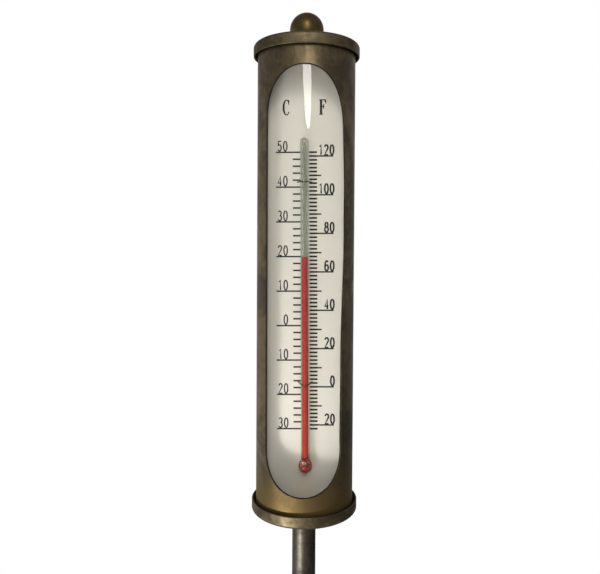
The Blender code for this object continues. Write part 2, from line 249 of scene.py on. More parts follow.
def braced(outline, closed):
    """Adds a ring near both ends of each long straight run, so that a corner's shading stays there."""
    ring_gap, long_run = 0.4 * MM, 3.0 * MM
    rings = []
    for before, after in zip(outline, outline[1:] + outline[:1] * closed):
        rings.append(before)
        run = Vector(after) - Vector(before)
        if run.length > long_run:
            inwards = run.normalized() * ring_gap
            rings += [tuple(Vector(before) + inwards), tuple(Vector(after) - inwards)]
    return rings if closed else rings + outline[-1:]


def turned(name, outline, steps, closed=True):
    """Extrudes one vertex along (radius, height) points and spins the line about the upright axis."""
    outline = braced(outline, closed)
    bpy.ops.object.select_all(action="DESELECT")
    bpy.ops.mesh.primitive_plane_add(size=MM)
    piece = bpy.context.object
    piece.name = piece.data.name = name
    bpy.ops.object.mode_set(mode="EDIT")
    bpy.ops.mesh.merge(type="CENTER")
    bpy.ops.transform.translate(value=(outline[0][0], 0, outline[0][1]))
    for before, after in zip(outline, outline[1:] + outline[:1] * closed):
        step = (after[0] - before[0], 0, after[1] - before[1])
        bpy.ops.mesh.extrude_vertices_move(TRANSFORM_OT_translate={"value": step})
    bpy.ops.mesh.select_all(action="SELECT")
    bpy.ops.mesh.spin(steps=steps, angle=tau, center=(0, 0, 0), axis=(0, 0, 1))
    bpy.ops.mesh.select_all(action="SELECT")
    bpy.ops.mesh.remove_doubles(threshold=0.01 * MM)
    bpy.ops.mesh.delete_loose()
    bpy.ops.mesh.select_all(action="SELECT")
    bpy.ops.mesh.normals_make_consistent(inside=False)
    bpy.ops.object.mode_set(mode="OBJECT")
    smooth(piece)
    return piece


def smooth(piece, angle=35):
    """Shades a piece smooth but keeps its real edges crisp."""
    hold(piece)
    bpy.ops.object.shade_smooth_by_angle(angle=radians(angle))


def finish(piece, kind, **settings):
    """Adds a modifier to a piece, sets it and applies it."""
    modifier = piece.modifiers.new(kind.lower(), kind)
    for name, value in settings.items():
        setattr(modifier, name, value)
    hold(piece)
    bpy.ops.object.modifier_apply(modifier=modifier.name)


def fit(piece, body, slot, material, *nodes):
    """Hangs a finished piece on its body, in place of the plain solids named."""
    piece.data.materials.clear()
    piece.data.materials.append(material)
    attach(piece, body)
    if nodes:
        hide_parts(*nodes)
    print(piece.name, "has", len(piece.data.polygons), "faces")


# %% [markdown]
# ## Antique brass
#
# The tube and the caps are sheet brass, about 1 mm thick. The maker blackens the brass in a bath and
# rubs it back by hand, so a thin brown oxide stays in cloudy patches, deeper in the hollows, and the
# metal under it gleams where a thumb or a cloth has been. To the eye that is a metal, with no white
# highlight of its own, whose colour wanders between olive brown and gold and whose gloss wanders
# with it. Three noises do this: clouds 20 to 30 mm across, mottling of 5 mm and specks of a
# millimetre. The same clouds feed the roughness, because oxide is duller than rubbed metal. Tube
# that was drawn through a die also keeps faint upright streaks. The foot of the tube, where hands
# screw the stake in, has lost most of its oxide and is golden, and matt from the handling.

# %% Brass finishes
worn_gold, worn_height = "8A7344", 26 * MM


def antique_brass(
    name, rubbed, oxide, pitted, polish, cloud=30, seed=0.0, drawn=0.0, handled=None
):
    """Darkened and rubbed brass in three colours; drawn is the strength of upright draw marks.

    handled is a height below which hands have worn the oxide down to golden metal.
    """
    made = bpy.data.materials.new(name)
    made.use_nodes = True
    tree = made.node_tree
    tree.nodes.clear()
    place = add_node(tree, "Mapping", {
        "Vector": add_node(tree, "TexCoord").outputs["Object"], "Location": (seed, -seed, 2 * seed),
    }).outputs["Vector"]
    clouds = add_node(tree, "TexNoise", {
        "Vector": place, "Scale": 1000 / cloud, "Detail": 5.0, "Roughness": 0.62, "Distortion": 0.6,
    })
    mottle = add_node(tree, "TexNoise", {
        "Vector": place, "Scale": 1000 / 5, "Detail": 4.0, "Roughness": 0.6,
    })
    specks = add_node(tree, "TexNoise", {"Vector": place, "Scale": 1000 / 0.9, "Detail": 2.0})
    streaks = add_node(tree, "TexNoise", {
        "Vector": add_node(tree, "Mapping", {"Vector": place, "Scale": (1.0, 1.0, 0.03)}).outputs[0],
        "Scale": 1000 / 1.6, "Detail": 3.0, "Roughness": 0.7,
    })
    oxidised = add_node(tree, "MapRange", {
        "Value": clouds.outputs["Fac"], "From Min": 0.42, "From Max": 0.58,
    }).outputs["Result"]
    oxidised = add_node(tree, "Math", {
        0: oxidised, 1: add_node(tree, "MapRange", {
            "Value": streaks.outputs["Fac"], "From Min": 0.3, "From Max": 0.7,
            "To Min": -drawn, "To Max": drawn,
        }).outputs["Result"],
    }, use_clamp=True).outputs[0]
    tone = add_node(tree, "Mix", {
        "Factor": oxidised, 6: linear(rubbed), 7: linear(oxide),
    }, data_type="RGBA").outputs[2]
    pits = add_node(tree, "MapRange", {
        "Value": mottle.outputs["Fac"], "From Min": 0.5, "From Max": 0.75, "To Max": 0.55,
    }).outputs["Result"]
    tone = add_node(tree, "Mix", {
        "Factor": pits, 6: tone, 7: linear(pitted),
    }, data_type="RGBA").outputs[2]
    if handled:
        height = add_node(tree, "SeparateXYZ", {
            "Vector": add_node(tree, "TexCoord").outputs["Object"],
        }).outputs["Z"]
        worn = add_node(tree, "MapRange", {
            "Value": height, "From Min": handled, "From Max": handled - worn_height, "To Max": 0.8,
        }).outputs["Result"]
        tone = add_node(tree, "Mix", {
            "Factor": worn, 6: tone, 7: linear(worn_gold),
        }, data_type="RGBA").outputs[2]
    gloss = add_node(tree, "MapRange", {
        "Value": clouds.outputs["Fac"], "From Min": 0.3, "From Max": 0.7,
        "To Min": polish - 0.06, "To Max": polish + 0.14,
    }).outputs["Result"]
    gloss = add_node(tree, "Math", {
        0: gloss, 1: add_node(tree, "MapRange", {
            "Value": specks.outputs["Fac"], "To Min": -0.08, "To Max": 0.08,
        }).outputs["Result"],
    }).outputs[0]
    if handled:
        gloss = add_node(tree, "Math", {0: worn, 1: 0.16, 2: gloss}, operation="MULTIPLY_ADD").outputs[0]
    waves = add_node(tree, "TexNoise", {"Vector": place, "Scale": 1000 / 16, "Detail": 1.0})
    relief = add_node(tree, "Bump", {
        "Height": waves.outputs["Fac"], "Distance": 0.25 * MM, "Strength": 0.5,
    })
    relief = add_node(tree, "Bump", {
        "Height": mottle.outputs["Fac"], "Distance": 0.05 * MM, "Strength": 0.5,
        "Normal": relief.outputs["Normal"],
    })
    relief = add_node(tree, "Bump", {
        "Height": specks.outputs["Fac"], "Distance": 0.02 * MM, "Strength": 0.4,
        "Normal": relief.outputs["Normal"],
    })
    shader = add_node(tree, "BsdfPrincipled", {
        "Base Color": tone, "Metallic": 1.0, "Roughness": gloss, "Normal": relief.outputs["Normal"],
    })
    add_node(tree, "OutputMaterial", {"Surface": shader.outputs[0]})
    return made


sheet_brass = antique_brass(
    "antique_sheet_brass", "88795C", "6A604F", "4E453A", 0.44, drawn=0.22,
    handled=underside + 38 * MM,
)
cap_brass = antique_brass("antique_pressed_brass", "877B5F", "675D49", "484236", 0.56, 22, 0.19)
ball_brass = antique_brass("antique_turned_brass", "86724A", "6E5B38", "5A4A2C", 0.33, 18, 0.37)
stake_brass = antique_brass("antique_drawn_brass", "6A655B", "4F4941", "3A362E", 0.5, 26, 0.71, 0.5)

# %% [markdown]
# ## Zinc-plated steel, wire, rubber and fibre
#
# The rod, the nuts, the brackets and the rivets are plain steel parts from a bin, zinc plated and
# passivated. Zinc crystals scatter light, so the plating is a pale grey metal with a soft gloss
# that changes from grain to grain. The clips are annealed iron wire, nearly black. The seals are
# moulded rubber, and the washer under the head is vulcanised fibre, a dense red-brown card.

# %% Plain finishes
def plain_finish(name, colour, darker, metallic, roughness, grain, depth):
    """A finish whose colour and relief change a little from grain to grain; grain is in millimetres."""
    made = bpy.data.materials.new(name)
    made.use_nodes = True
    tree = made.node_tree
    tree.nodes.clear()
    place = add_node(tree, "TexCoord").outputs["Object"]
    grains = add_node(tree, "TexNoise", {
        "Vector": place, "Scale": 1000 / grain, "Detail": 4.0, "Roughness": 0.65,
    }).outputs["Fac"]
    tone = add_node(tree, "Mix", {
        "Factor": grains, 6: linear(colour), 7: linear(darker),
    }, data_type="RGBA").outputs[2]
    gloss = add_node(tree, "MapRange", {
        "Value": grains, "From Min": 0.3, "From Max": 0.7,
        "To Min": roughness * 0.8, "To Max": roughness * 1.2,
    }).outputs["Result"]
    relief = add_node(tree, "Bump", {"Height": grains, "Distance": depth * MM, "Strength": 0.6})
    shader = add_node(tree, "BsdfPrincipled", {
        "Base Color": tone, "Metallic": metallic, "Roughness": gloss,
        "Normal": relief.outputs["Normal"],
    })
    add_node(tree, "OutputMaterial", {"Surface": shader.outputs[0]})
    return made


zinc_plate = plain_finish("zinc_plated_steel", "C2C1BA", "9A9890", 1.0, 0.38, 1.5, 0.03)
iron_wire = plain_finish("annealed_iron_wire", "3A3733", "221F1C", 0.9, 0.45, 0.8, 0.02)
rubber = plain_finish("moulded_rubber", "1C1B1A", "121211", 0.0, 0.7, 0.8, 0.03)
fibre = plain_finish("vulcanised_fibre", "6E3328", "54251C", 0.0, 0.6, 0.7, 0.04)
ink = plain_finish("screen_printing_ink", "0C0B0A", "131210", 0.0, 0.85, 0.6, 0.01)

# %% [markdown]
# ## The card's enamel
#
# The scale is printed on a thin metal card with a stoved cream enamel. Under daylight it is a warm
# white with a faint cloudiness, and it has a low, even sheen. The clouds are 12 mm across, and a
# fine grit of half a millimetre stands for the roller's texture.

# %% Card finish
card_enamel = plain_finish("stoved_cream_enamel", "E2DED5", "DBD7CD", 0.0, 0.5, 12, 0.02)

# %% [markdown]
# ## Spirit and glass
#
# The liquid is alcohol with a red dye, so deep in colour that light doesn't get through it: glossy
# red to the eye. In the bulb the crimson has lighter patches and small near-white glints painted
# into its colour: painted light, standing in for the light that the round glass wall breaks up.
# Clear glass bends light, which makes the thin red thread look one and a half times as wide as it
# is. Blender's lamps can't shine through bent glass, so the glass gives way to plain transparency
# for the rays that look for a lamp.

# %% Spirit and glass
def clear_glass(name, tint, shadow):
    """Clear glass; shadow is the colour of the light that gets through it to a surface behind."""
    made = bpy.data.materials.new(name)
    made.use_nodes = True
    tree = made.node_tree
    tree.nodes.clear()
    body = add_node(tree, "BsdfPrincipled", {
        "Base Color": linear(tint), "Roughness": 0.0, "IOR": 1.47, "Transmission Weight": 1.0,
    })
    gap = add_node(tree, "BsdfTransparent", {"Color": linear(shadow)})
    both = add_node(tree, "MixShader", {
        0: add_node(tree, "LightPath").outputs["Is Shadow Ray"],
        1: body.outputs[0], 2: gap.outputs[0],
    })
    add_node(tree, "OutputMaterial", {"Surface": both.outputs[0]})
    return made


window_glass = clear_glass("drawn_soda_glass", "FCFDFB", "FAFAFA")
stem_glass = clear_glass("thermometer_glass", "E3E5E0", "D8D8D5")


def glittering_dye(name, deep, painted_lit, painted_glint):
    """Dyed liquid whose colour carries painted light: lighter patches and near-white painted glints."""
    made = bpy.data.materials.new(name)
    made.use_nodes = True
    tree = made.node_tree
    tree.nodes.clear()
    place = add_node(tree, "TexCoord").outputs["Object"]
    ripple = add_node(tree, "TexNoise", {
        "Vector": place, "Scale": 1000 / 1.7, "Detail": 3.0, "Roughness": 0.6, "Distortion": 1.2,
    }).outputs["Fac"]
    # Painted light: lighter patches of crimson where the bulb's glass would scatter light.
    patches = add_node(tree, "MapRange", {
        "Value": ripple, "From Min": 0.40, "From Max": 0.60,
    }).outputs["Result"]
    tone = add_node(tree, "Mix", {
        "Factor": patches, 6: linear(deep), 7: linear(painted_lit),
    }, data_type="RGBA").outputs[2]
    # Painted glints: near-white spots in the dye's colour in place of real highlights.
    painted_glint_mask = add_node(tree, "MapRange", {
        "Value": ripple, "From Min": 0.61, "From Max": 0.64,
    }).outputs["Result"]
    tone = add_node(tree, "Mix", {
        "Factor": painted_glint_mask, 6: tone, 7: linear(painted_glint),
    }, data_type="RGBA").outputs[2]
    shader = add_node(tree, "BsdfPrincipled", {"Base Color": tone, "Roughness": 0.12})
    add_node(tree, "OutputMaterial", {"Surface": shader.outputs[0]})
    return made


red_spirit = plain_finish("dyed_alcohol_in_bore", "CE3034", "C72C30", 0.0, 0.25, 2, 0.0)
# The bulb's dye has painted light patches and painted glints in its colour.
bulb_spirit = glittering_dye("dyed_alcohol_with_painted_glints", "66101E", "C02C42", "FFF0F0")

# %% [markdown]
# ## The casing
#
# The window was punched from flat sheet with half-round ends, and the sheet was then rolled and
# soldered into a tube of 70 mm. That is why the ends look drawn out in the tube, and why the cut
# edge stands square to the curved wall. The punching was trimmed by hand, so one long side bulges a
# little. Here a flat slot-shaped bar is sliced into narrow strips, rolled round the same radius and
# taken out of a plain tube with a Boolean. A narrow bevel breaks every edge as a file does.

# %% The window's cutter
sheet = 1.0 * MM
window_low, window_high = underside + 20.1 * MM, underside + 312.9 * MM
window_middle = (window_low + window_high) / 2
flat_half_width = 30.1 * MM
arch_height, sill_height = 37 * MM, 29 * MM
bulge, bulge_height, bulge_spread = 2.6 * MM, underside + 207 * MM, 52 * MM
window_taper, file_wander, window_shift = 0.9 * MM, 0.25 * MM, -0.65 * MM
head_tilt = 0.09
on_the_middle = 1e-6


def trimmed(across, height):
    """Where a point of the punched outline ended up after trimming by hand."""
    share = min(max(across / flat_half_width, -1), 1)
    swell = bulge * max(share, 0) ** 3 / (1 + ((height - bulge_height) / bulge_spread) ** 4)
    taper = window_taper * share * (height - window_middle) / (window_high - window_low)
    wander = file_wander * noise.noise(Vector((across * 40, 0.5, height * 40)))
    return across + swell + taper + wander + window_shift


def slot_height(across, rise):
    """From a place on a circle to the height on the slot, whose upper end is drawn out."""
    if rise > on_the_middle:
        drawn = arch_height * (1 + head_tilt * across / flat_half_width)
        return window_high - drawn * (1 - rise / flat_half_width)
    if rise < -on_the_middle:
        return window_low + sill_height * (1 + rise / flat_half_width)
    return window_middle


def slot_outline(corners, fill):
    """The flat outline of the window: a circle whose halves are drawn apart."""
    bpy.ops.object.select_all(action="DESELECT")
    bpy.ops.mesh.primitive_circle_add(
        vertices=corners, radius=flat_half_width, fill_type=fill, rotation=(radians(90), 0, 0)
    )
    outline = bpy.context.object
    bpy.ops.object.transform_apply(location=True, rotation=True, scale=True)
    for vertex in outline.data.vertices:
        vertex.co.z = slot_height(vertex.co.x, vertex.co.z)
    return outline


def slice_across(heights):
    """Cuts the mesh that is being edited with level planes."""
    for height in heights:
        bpy.ops.mesh.select_all(action="SELECT")
        bpy.ops.mesh.bisect(plane_co=(0, 0, height), plane_no=(0, 0, 1), threshold=1e-6)


def window_cutter():
    """A slot-shaped bar, sliced, then rolled round the tube's axis."""
    bar = slot_outline(96, "NGON")
    inner, outer = casing_radius - 4 * MM, casing_radius + 3 * MM
    bpy.ops.object.mode_set(mode="EDIT")
    bpy.ops.mesh.select_all(action="SELECT")
    bpy.ops.transform.translate(value=(0, -outer, 0))
    bpy.ops.mesh.extrude_region_move(TRANSFORM_OT_translate={"value": (0, outer - inner, 0)})
    strips = 24
    for strip in range(1, strips):
        cut = flat_half_width * (2 * strip / strips - 1)
        bpy.ops.mesh.select_all(action="SELECT")
        bpy.ops.mesh.bisect(plane_co=(cut, 0, 0), plane_no=(1, 0, 0), threshold=1e-6)
    levels = 40
    window_height = window_high - window_low
    slice_across([window_low + window_height * level / levels for level in range(1, levels)])
    bpy.ops.mesh.select_all(action="SELECT")
    bpy.ops.mesh.remove_doubles(threshold=0.001 * MM)
    bpy.ops.mesh.select_all(action="SELECT")
    bpy.ops.mesh.normals_make_consistent(inside=False)
    bpy.ops.object.mode_set(mode="OBJECT")
    for vertex in bar.data.vertices:
        turn = trimmed(vertex.co.x, vertex.co.z) / casing_radius
        radius = -vertex.co.y
        vertex.co = (radius * sin(turn), -radius * cos(turn), vertex.co.z)
    return bar


# %% [markdown]
# A plain tube is given its thickness inwards, so that its outside stays 70 mm, and then the rolled
# bar is taken out of it.

# %% The casing
bpy.ops.object.select_all(action="DESELECT")
bpy.ops.mesh.primitive_cylinder_add(
    vertices=192, radius=casing_radius, depth=casing_high - casing_low, end_fill_type="NOTHING",
    location=(0, 0, (casing_low + casing_high) / 2),
)
casing = bpy.context.object
casing.name = casing.data.name = "brass_casing"
bpy.ops.object.transform_apply(location=True, rotation=True, scale=True)
finish(casing, "SOLIDIFY", thickness=sheet, offset=-1.0)
bar = window_cutter()
finish(casing, "BOOLEAN", object=bar, operation="DIFFERENCE", solver="EXACT")
bpy.data.objects.remove(bar)
smooth(casing)
finish(
    casing, "BEVEL", width=0.15 * MM, segments=2, limit_method="ANGLE", angle_limit=radians(50),
    harden_normals=True,
)
fit(casing, "head", "housing_brass", sheet_brass, "casing")

# %% [markdown]
# ## The glass sleeve
#
# A cut length of clear tube stands just inside the casing. Its ends are ground flat and arrised.

# %% Glass sleeve
def tube_section(inner, outer, low, high, edge):
    """The closed section of a tube's wall whose four edges are rounded."""
    return (
        arc(outer - edge, low + edge, edge, -90, 0, 3)
        + arc(outer - edge, high - edge, edge, 0, 90, 3)
        + arc(inner + edge, high - edge, edge, 90, 180, 3)
        + arc(inner + edge, low + edge, edge, 180, 270, 3)
    )


glass_wall = 1.5 * MM
sleeve = turned(
    "glass_tube",
    tube_section(glass_radius - glass_wall, glass_radius, casing_low, casing_high, 0.3 * MM), 192,
)
fit(sleeve, "head", "window_glass", window_glass, "glass_sleeve")

# %% [markdown]
# ## The caps
#
# Both caps are discs of 1 mm brass drawn over the same die: a flat crown, a round shoulder and a
# straight skirt whose cut edge is rounded. Extruding the half section and spinning it follows the
# way such a cap is spun. The lower one has a shallow seat for the stake's washer.

# %% Caps
shoulder = 2.6 * MM
seat_radius, seat_depth = 10 * MM, 0.3 * MM


def cap(name, bore, seat, upwards, base):
    """A pressed cap. upwards is 1 for the lower cap, whose skirt stands up, and -1 for the upper."""
    inner_shoulder = shoulder - sheet
    wall = cap_radius - sheet
    lip = sheet / 2
    crown = [(bore, seat_depth), (seat_radius, seat_depth), (seat_radius, 0)] if seat else [(bore, 0)]
    section = (
        crown
        + arc(cap_radius - shoulder, shoulder, shoulder, -90, 0, 10)
        + arc(cap_radius - lip, cap_depth - lip, lip, 0, 180, 6)
        + arc(wall - inner_shoulder, sheet + inner_shoulder, inner_shoulder, 0, -90, 6)
        + [(bore, sheet)]
    )
    return turned(name, [(r, base + upwards * h) for r, h in section], 180)


lower_cap = cap("lower_cap", 4.3 * MM, True, 1, underside)
fit(lower_cap, "head", "housing_brass", cap_brass, "bottom_cap")
upper_cap = cap("upper_cap", 3.3 * MM, False, -1, summit)
fit(upper_cap, "lid", "housing_brass", cap_brass, "top_cap")

# %% [markdown]
# ## The ball nut
#
# A solid ball turned from bar, with a flat and a tapped hole below. Its cut edge is broken by a
# small chamfer.

# %% Ball nut
ball_low, ball_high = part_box("finial_ball")[0].z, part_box("finial_ball")[1].z
ball_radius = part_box("finial_ball")[1].x
ball_middle = ball_high - ball_radius
bore, chamfer = 3.3 * MM, 0.4 * MM
bore_top = ball_low + 9.5 * MM
flat_angle = -asin((ball_middle - ball_low) / ball_radius) * 180 / pi
section = (
    [(bore, bore_top), (bore, ball_low + chamfer), (bore + chamfer, ball_low)]
    + arc(0, ball_middle, ball_radius, flat_angle, 90, 40)
)
ball = turned("ball_nut", section + [(0, bore_top)], 96)
fit(ball, "finial", "housing_brass", ball_brass, "finial_ball")

# %% [markdown]
# ## The stake
#
# A brass tube of 17 mm with a turned point pressed into its end.

# %% Stake
stake_low, stake_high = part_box("stake_tube")[0].z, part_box("stake_tube")[1].z
stake_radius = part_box("stake_tube")[1].x
stake_wall = 1.2 * MM
stake = turned(
    "stake_shaft",
    tube_section(stake_radius - stake_wall, stake_radius, stake_low, stake_high, 0.3 * MM), 96,
)
fit(stake, "stake", "stake_brass", stake_brass, "stake_tube")

nose = 0.8 * MM
point_length = 60 * MM
spigot_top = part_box("stake_point")[1].z
spigot = 7.0 * MM
section = (
    arc(0, nose, nose, -90, 0, 6)
    + [(stake_radius - 0.2 * MM, point_length - 1.2 * MM), (stake_radius, point_length - 0.3 * MM),
       (stake_radius - 0.2 * MM, point_length), (spigot, point_length), (spigot, spigot_top),
       (0, spigot_top)]
)
point = turned("stake_tip", section, 64, closed=False)
fit(point, "stake", "stake_brass", stake_brass, "stake_point")

# %% [markdown]
# ## The screw threads
#
# The rod behind the card carries an M6 thread at both ends, and the plug in the stake has an M8 stub.
# They show when the ball, the lid or the stake is off. The flanks of such a thread stand at 60
# degrees and its depth is 0.61 of its pitch. At this size one turn looks like a plain ring, so the
# profile of the thread is spun round like every other lathe part.

# %% Rod and plug
def ridges(radius, pitch, low, high):
    """The profile of a thread: a root and a crest for each turn that fits between two heights."""
    depth = 0.61 * pitch
    turns = int((high - low) / pitch + 0.01)
    profile = []
    for turn in range(turns):
        root_height = low + turn * pitch
        profile += [(radius - depth, root_height), (radius, root_height + pitch / 2)]
    return profile + [(radius - depth, low + turns * pitch)]


rod_low, rod_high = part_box("tie_rod")[0].z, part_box("tie_rod")[1].z
rod_radius, rod_pitch = 3.0 * MM, 1.0 * MM
shank_radius = 2.85 * MM
lower_thread_end, upper_thread_start = rod_low + 16 * MM, rod_high - 30 * MM
section = (
    [(0, rod_low)]
    + ridges(rod_radius, rod_pitch, rod_low, lower_thread_end)
    + [(shank_radius, lower_thread_end + 0.3 * MM), (shank_radius, upper_thread_start - 0.3 * MM)]
    + ridges(rod_radius, rod_pitch, upper_thread_start, rod_high)
    + [(0, rod_high)]
)
rod = turned("threaded_rod", section, 40, closed=False)
fit(rod, "head", "plated_steel", zinc_plate, "tie_rod")

plug_low, stub_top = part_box("stake_plug")[0].z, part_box("stake_plug")[1].z
plug_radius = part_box("stake_plug")[1].x
stub_radius, stub_pitch, undercut = 4.0 * MM, 1.25 * MM, 0.3 * MM
neck_radius = 3.24 * MM
section = (
    [(0, plug_low), (plug_radius, plug_low), (plug_radius, stake_high), (neck_radius, stake_high)]
    + ridges(stub_radius, stub_pitch, stake_high + undercut, stub_top)
    + [(0, stub_top)]
)
plug = turned("screw_plug", section, 48, closed=False)
fit(plug, "stake", "plated_steel", zinc_plate, "stake_plug")

# %% [markdown]
# ## The card's own upright
#
# Card and stem were mounted half a degree out of plumb. Everything on the card is modelled upright
# and then leaned over with it, about the same pivot.

# %% The leaning frame and the scale's heights
card_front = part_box("scale_plate")[0].y
card_pivot = Vector((0, 0, underside + 156 * MM))
card_lean = radians(-0.5)
leaning = (
    Matrix.Translation(card_pivot) @ Matrix.Rotation(card_lean, 4, "Y")
    @ Matrix.Translation(-card_pivot)
)
degree = 2.443 * MM
coldest, coldest_height = -30, 61.3 * MM


def lean_over(piece):
    """Leans an upright piece with the card and puts its place into its mesh."""
    bpy.context.view_layer.update()
    piece.matrix_world = leaning @ piece.matrix_world
    hold(piece)
    bpy.ops.object.transform_apply(location=True, rotation=True, scale=True)


def celsius(reading):
    """The height of a Celsius mark, in metres above the card's foot."""
    return underside + coldest_height + (reading - coldest) * degree


def fahrenheit(reading):
    return celsius((reading - 32) / 1.8)


# %% [markdown]
# ## The print
#
# The scale is screen printed in black ink, so a stroke has even width, square ends and hardly any
# thickness. Each sign is drawn the way a pen draws it: a line is extruded from corner to corner,
# turned into a curve, given its width and flattened to a film of ink. Each digit is drawn once and
# stamped where it is needed. The marks of one kind are one line in an Array. The two letters have
# the thick and thin strokes and the small feet of a book face.

# %% Pen and stamp
def oval(across, up, half_width, half_height, start, end, steps):
    """Points on an oval, or a part of one; angles in degrees."""
    angles = [radians(start + (end - start) * step / steps) for step in range(steps + 1)]
    return [(across + half_width * cos(a), up + half_height * sin(a)) for a in angles]


def pen(points, widths):
    """Draws one line of print upright at the origin, sizes in millimetres; one width for each point."""
    bpy.ops.object.select_all(action="DESELECT")
    bpy.ops.mesh.primitive_plane_add(size=MM)
    line = bpy.context.object
    bpy.ops.object.mode_set(mode="EDIT")
    bpy.ops.mesh.merge(type="CENTER")
    bpy.ops.transform.translate(value=(points[0][0] * MM, 0, points[0][1] * MM))
    for before, after in zip(points, points[1:]):
        step = ((after[0] - before[0]) * MM, 0, (after[1] - before[1]) * MM)
        bpy.ops.mesh.extrude_vertices_move(TRANSFORM_OT_translate={"value": step})
    bpy.ops.object.mode_set(mode="OBJECT")
    bpy.ops.object.convert(target="CURVE")
    line.data.bevel_depth = MM / 2
    line.data.bevel_resolution = 1
    line.data.use_fill_caps = True
    for corner in line.data.splines[0].points:
        gaps = [(corner.co.x / MM - x) ** 2 + (corner.co.z / MM - z) ** 2 for x, z in points]
        corner.radius = widths[gaps.index(min(gaps))] / cos(radians(30))
    bpy.ops.object.convert(target="MESH")
    bpy.ops.transform.resize(value=(1, 0.03, 1))
    bpy.ops.object.transform_apply(location=True, rotation=True, scale=True)
    return line


def joined(name, pieces):
    """Joins pieces into one."""
    hold(pieces[0])
    for piece in pieces[1:]:
        piece.select_set(True)
    if len(pieces) > 1:
        bpy.ops.object.join()
    pieces[0].name = pieces[0].data.name = name
    return pieces[0]


ink_marks = []


def stamp(sign, across, height):
    """Puts a copy of a sign on the card; across in millimetres from the stem, height in metres."""
    mark = sign.copy()
    mark.data = sign.data.copy()
    bpy.context.scene.collection.objects.link(mark)
    mark.location = (across * MM, card_front - 0.04 * MM, height)
    ink_marks.append(mark)
    return mark


# %% [markdown]
# The digits are narrow, as on most printed scales: each is drawn in a box of 2.35 by 6.8 mm. The
# Celsius numbers are light, the Fahrenheit numbers bold.

# %% Digits
digit_width, digit_height, digit_pitch = 2.35, 6.8, 3.9
digit_lines = {
    "0": [oval(0.5, 0.5, 0.5, 0.5, 90, 450, 20)],
    "1": [[(0.2, 0.82), (0.6, 1), (0.6, 0)]],
    "2": [oval(0.5, 0.75, 0.48, 0.25, 170, -20, 10) + [(0, 0), (1, 0)]],
    "3": [oval(0.45, 0.76, 0.45, 0.24, 150, -90, 9), oval(0.45, 0.27, 0.52, 0.27, 90, -150, 10)],
    "4": [[(0.72, 0), (0.72, 1), (0, 0.3), (1, 0.3)]],
    "5": [[(0.95, 1), (0.15, 1), (0.1, 0.58)] + oval(0.45, 0.32, 0.5, 0.32, 130, -150, 10)],
    "6": [oval(0.55, 0.7, 0.45, 0.3, 35, 165, 6) + [(0, 0.3)], oval(0.5, 0.3, 0.5, 0.3, 90, 450, 14)],
    "8": [oval(0.5, 0.76, 0.4, 0.24, 90, 450, 12), oval(0.5, 0.27, 0.5, 0.27, 90, 450, 14)],
}


def drawn_digits(weight):
    """One master of each digit, in strokes of one width."""
    masters = {}
    for digit, lines in digit_lines.items():
        sized = [[(x * digit_width, z * digit_height) for x, z in line] for line in lines]
        masters[digit] = joined("digit_" + digit, [pen(line, [weight] * len(line)) for line in sized])
    return masters


light_digits, bold_digits = drawn_digits(0.95), drawn_digits(1.2)


def number(digits, reading, right, height):
    """Stamps a number so that its last digit ends at the given place."""
    text = str(abs(reading))
    for place, digit in enumerate(text):
        across = right - digit_width - digit_pitch * (len(text) - 1 - place)
        stamp(digits[digit], across, height)


for reading in range(-30, 51, 10):
    number(light_digits, reading, -12.3, celsius(reading) + 0.9 * MM)
for reading in range(-20, 121, 20):
    number(bold_digits, reading, 20.3, fahrenheit(reading) + 0.9 * MM)

# %% [markdown]
# On the Celsius side there is a mark for every two degrees and a long one for every ten. On the
# Fahrenheit side the marks stand for two degrees too, so they lie closer, with longer ones for every
# ten and every twenty.

# %% Marks
def rule(left, right, thickness, height, *arrays):
    """A row of level marks; each array is a count and a pitch in metres."""
    first = pen([(left, 0), (right, 0)], [thickness] * 2)
    row = stamp(first, 0, height)
    for count, pitch in arrays:
        finish(
            row, "ARRAY", count=count, use_relative_offset=False, use_constant_offset=True,
            constant_offset_displace=(0, 0, pitch),
        )
    bpy.data.objects.remove(first)


fahrenheit_degree = degree / 1.8
rule(-8.3, -3.0, 1.15, celsius(-28), (4, 2 * degree), (8, 10 * degree))
rule(-20.0, -3.0, 1.05, celsius(-30), (9, 10 * degree))
rule(3.2, 8.7, 1.3, fahrenheit(-22), (73, 2 * fahrenheit_degree))
rule(8.6, 11.7, 1.05, fahrenheit(-10), (7, 20 * fahrenheit_degree))
rule(8.6, 20.1, 1.05, fahrenheit(-20), (8, 20 * fahrenheit_degree))

# %% [markdown]
# The two letters over the scale name the units. The C swells on its back, and the F has a thick
# stem, thin arms and a foot.

# %% The letters C and F
def swelling(points, centre, thin, thick):
    """Widths that swell on the left side of a round letter."""
    reach = max(abs(x - centre) for x, z in points)
    return [thin + (thick - thin) * max((centre - x) / reach, 0) ** 1.5 for x, z in points]


round_back = oval(2.6, 5.6, 2.05, 5.2, 48, 318, 22)
letter_c = joined("letter_c", [
    pen(round_back, swelling(round_back, 2.6, 0.75, 1.5)),
    pen([(4.1, 10.8), (4.15, 7.6)], [1.2, 0.55]),
    pen([(3.9, 2.0), (4.3, 2.8)], [0.65, 0.55]),
])
letter_f = joined("letter_f", [
    pen([(1.3, 0.1), (1.3, 10.6)], [1.4, 1.4]),
    pen([(0.1, 10.3), (4.5, 10.3)], [0.8, 0.8]),
    pen([(4.2, 10.6), (4.55, 7.9)], [1.2, 0.6]),
    pen([(1.3, 5.7), (3.1, 5.7)], [0.75, 0.75]),
    pen([(3.1, 7.3), (3.1, 4.1)], [0.65, 0.65]),
    pen([(0.0, 0.35), (2.7, 0.35)], [0.75, 0.75]),
])
stamp(letter_c, -15.1, underside + 282.4 * MM)
stamp(letter_f, 10.3, underside + 282.9 * MM)

scale_print = joined("scale_print", ink_marks)
bpy.ops.object.transform_apply(location=True, rotation=True, scale=True)
for master in (*light_digits.values(), *bold_digits.values(), letter_c, letter_f):
    bpy.data.objects.remove(master)
lean_over(scale_print)
fit(scale_print, "head", "scale_card", ink)

